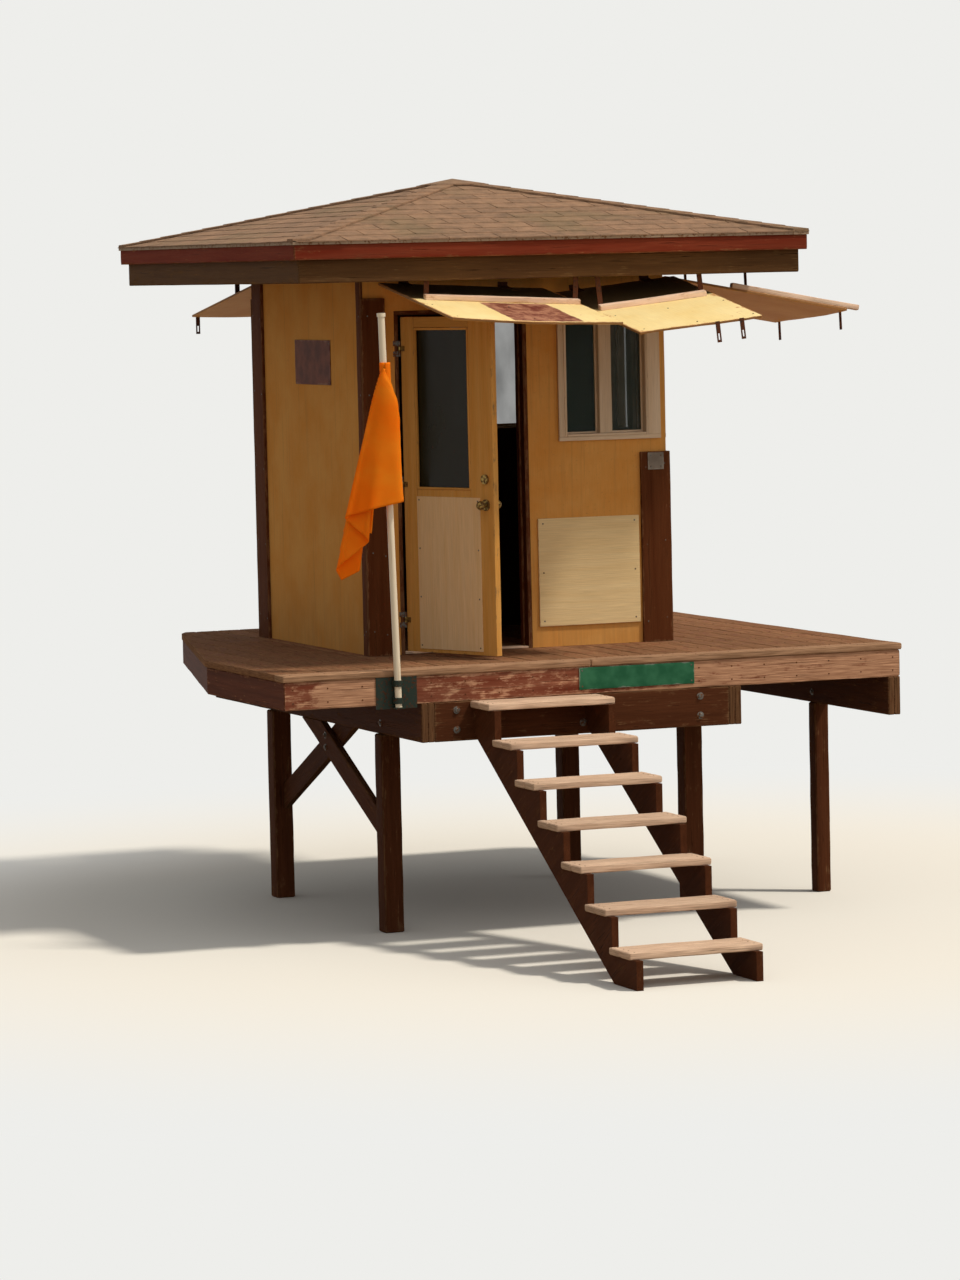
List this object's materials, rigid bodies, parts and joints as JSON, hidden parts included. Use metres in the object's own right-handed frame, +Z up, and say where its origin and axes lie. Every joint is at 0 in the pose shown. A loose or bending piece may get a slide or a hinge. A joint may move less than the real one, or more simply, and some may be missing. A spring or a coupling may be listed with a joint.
{
  "type": "lifeguard tower",
  "caption": "Square timber lifeguard cabin with propped plywood shutters, hip roof and hinged door on a raised deck with stairs and a flag.",
  "frame": {"origin": "centre of the front left leg's foot, on the sand", "axes": "+X to the right along the front wall seen from the stairs, +Y from the stairs to the back, +Z up"},
  "size_m": [4.0282, 6.2743, 4.26],
  "materials": {
    "deck_boards": "weathered grey-brown boards",
    "worn_red_paint": "worn red-brown paint on timber",
    "stained_timber": "dark red-brown stained timber",
    "worn_treads": "pale worn timber",
    "wall_boards": "ochre painted wall boards",
    "brown_trim": "dark brown painted trim",
    "door_paint": "ochre painted door",
    "white_frame": "off-white painted frame",
    "shutter_paint": "cream paint on plywood",
    "eave_timber": "weathered grey-olive timber",
    "shingles": "weathered brown shingles",
    "plate_paint": "painted sheet plate",
    "pole_paint": "white painted tube",
    "bracket_paint": "dark green painted steel",
    "steel": "dull weathered steel",
    "pane_glass": "clear window glass",
    "flag_cloth": "orange woven cloth"
  },
  "bodies": {
    "tower": {"deck": "deck_boards", "rim_front": "worn_red_paint", "rim_back": "worn_red_paint", "rim_sides": "worn_red_paint", "rim_corners": "worn_red_paint", "joists": "stained_timber", "girders": "stained_timber", "front_beam": "stained_timber", "legs": "stained_timber", "leg_braces": "stained_timber", "stringers": "stained_timber", "treads": "worn_treads", "left_wall": "wall_boards", "back_wall": "wall_boards", "right_wall": "wall_boards", "front_wall_left": "wall_boards", "front_wall_right": "wall_boards", "door_header": "wall_boards", "corner_trims": "brown_trim", "door_jambs": "brown_trim", "door_head": "brown_trim", "door_threshold": "worn_treads", "door_hinges": "steel", "window_frames": "white_frame", "window_glass": "pane_glass", "shutter_door": "shutter_paint", "shutter_window": "shutter_paint", "shutter_right": "shutter_paint", "shutter_back_left": "shutter_paint", "shutter_back_right": "shutter_paint", "shutter_irons": "steel", "ceiling": "eave_timber", "eave_front_back": "eave_timber", "eave_sides": "eave_timber", "fascia_front_back": "worn_red_paint", "fascia_sides": "worn_red_paint", "roof": "shingles", "kick_panel": "shutter_paint", "plates": "plate_paint", "flag_pole": "pole_paint", "flag_bracket": "bracket_paint", "flag": "flag_cloth"},
    "door": {"door_leaf": "door_paint", "door_glass": "pane_glass", "door_panel": "shutter_paint", "door_hardware": "steel"}
  },
  "joints": [
    {"name": "door_hinge", "type": "hinge", "parent": "tower", "child": "door", "pos_m": [0.2645, 0.353, 2.5], "axis": [0, 0, -1], "range_deg": [-69, 81]}
  ]
}
